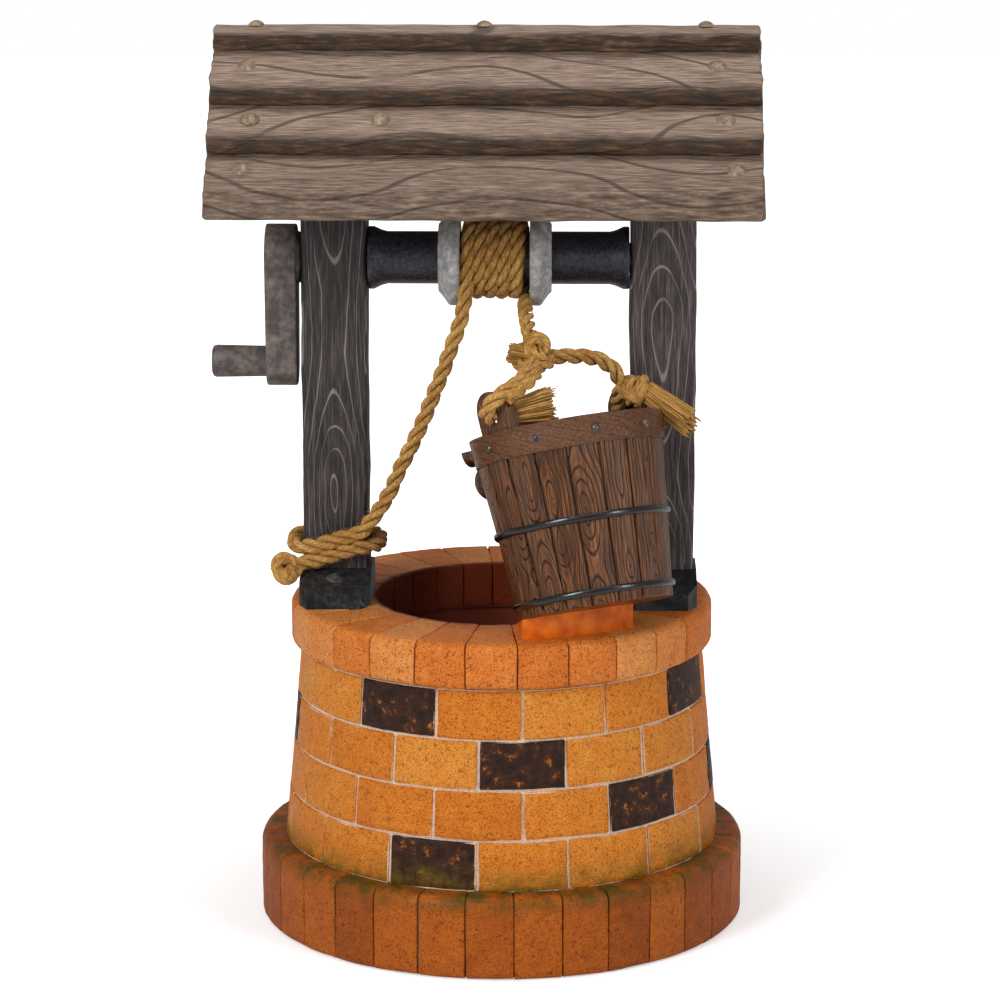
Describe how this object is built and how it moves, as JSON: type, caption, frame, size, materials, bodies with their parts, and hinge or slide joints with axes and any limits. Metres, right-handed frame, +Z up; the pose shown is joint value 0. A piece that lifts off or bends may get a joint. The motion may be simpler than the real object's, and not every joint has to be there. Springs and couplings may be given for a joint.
{
  "type": "wishing well fountain",
  "caption": "Tabletop fountain shaped as a round brick well with a shingled board roof, a windlass with a crank, rope and a leaning pouring bucket.",
  "frame": {"origin": "centre of the plinth's underside, on the surface that the fountain stands on", "axes": "+Z up, -Y towards the front where the bucket hangs, +X to the viewer's right, so the crank is on the -X side"},
  "size_m": [0.287, 0.258, 0.4796],
  "materials": {
    "plinth_brick": "glazed orange brick with moss on top",
    "wall_brick": "glazed orange and burnt brick with pale mortar",
    "coping_brick": "glazed orange brick",
    "tub_plastic": "black moulded plastic",
    "grommet_rubber": "black rubber",
    "pump_plastic": "black moulded plastic",
    "pump_cover_plastic": "black moulded plastic",
    "impeller_plastic": "white moulded plastic round a magnet",
    "dial_plastic": "grey moulded plastic",
    "feet_rubber": "soft black rubber",
    "pipe_plastic": "milky tube",
    "bucket_wood": "glossy carved brown staves",
    "band_wood": "glossy lighter brown band",
    "hoop_iron": "polished black",
    "rivet_metal": "worn brown",
    "post_wood": "charcoal grain, dry brushed",
    "shoe_iron": "black, worn",
    "screw_steel": "zinc plated",
    "roof_wood": "weathered grey-brown grain",
    "nail_iron": "worn dark iron",
    "drum_wood": "charcoal grain",
    "flange_wood": "lighter grey grain",
    "rope": "golden three-strand jute"
  },
  "bodies": {
    "well": {"plinth_course": "plinth_brick", "brick_wall": "wall_brick", "coping_ring": "coping_brick", "reservoir_tub": "tub_plastic", "cable_grommet": "grommet_rubber", "pump_body": "pump_plastic", "pump_intake_cover": "pump_cover_plastic", "pump_suction_feet": "feet_rubber", "riser_pipe": "pipe_plastic", "bucket_wedge": "coping_brick", "bucket_staves": "bucket_wood", "bucket_bottom": "bucket_wood", "bucket_top_band": "band_wood", "bucket_middle_hoop": "hoop_iron", "bucket_lower_hoop": "hoop_iron", "bucket_ear_left": "bucket_wood", "bucket_ear_right": "bucket_wood", "bucket_rivets": "rivet_metal", "pouring_spout": "bucket_wood", "post_left": "post_wood", "post_right": "post_wood", "shoe_left": "shoe_iron", "shoe_right": "shoe_iron", "shoe_studs": "shoe_iron", "post_screws": "screw_steel", "rafter_left": "roof_wood", "rafter_right": "roof_wood", "roof_board_front_1": "roof_wood", "roof_board_front_2": "roof_wood", "roof_board_front_3": "roof_wood", "roof_board_back_1": "roof_wood", "roof_board_back_2": "roof_wood", "roof_board_back_3": "roof_wood", "ridge_cap": "roof_wood", "roof_nails": "nail_iron", "rope_winding": "rope", "rope_to_post": "rope", "rope_hitch": "rope", "hitch_stopper": "rope", "rope_to_bucket": "rope", "bucket_knot": "rope", "bucket_bail": "rope", "bail_knot_left": "rope", "bail_knot_right": "rope"},
    "windlass": {"windlass_axle": "drum_wood", "windlass_barrel": "drum_wood", "drum_flange_left": "flange_wood", "drum_flange_right": "flange_wood", "crank_arm": "drum_wood", "crank_grip": "drum_wood"},
    "impeller": {"pump_impeller": "impeller_plastic"},
    "flow_dial": {"pump_flow_dial": "dial_plastic"}
  },
  "joints": [
    {"name": "windlass_turn", "type": "hinge", "parent": "well", "child": "windlass", "pos_m": [0, 0, 0.3551], "axis": [1, 0, 0], "continuous": true},
    {"name": "impeller_spin", "type": "hinge", "parent": "well", "child": "impeller", "pos_m": [0.03831, -0.06084, 0.03], "axis": [0.8462, 0.5329, 0], "continuous": true},
    {"name": "flow_dial_turn", "type": "hinge", "parent": "well", "child": "flow_dial", "pos_m": [0.03831, -0.06084, 0.045], "axis": [-0.8462, -0.5329, 0], "range_deg": [0, 90]}
  ]
}
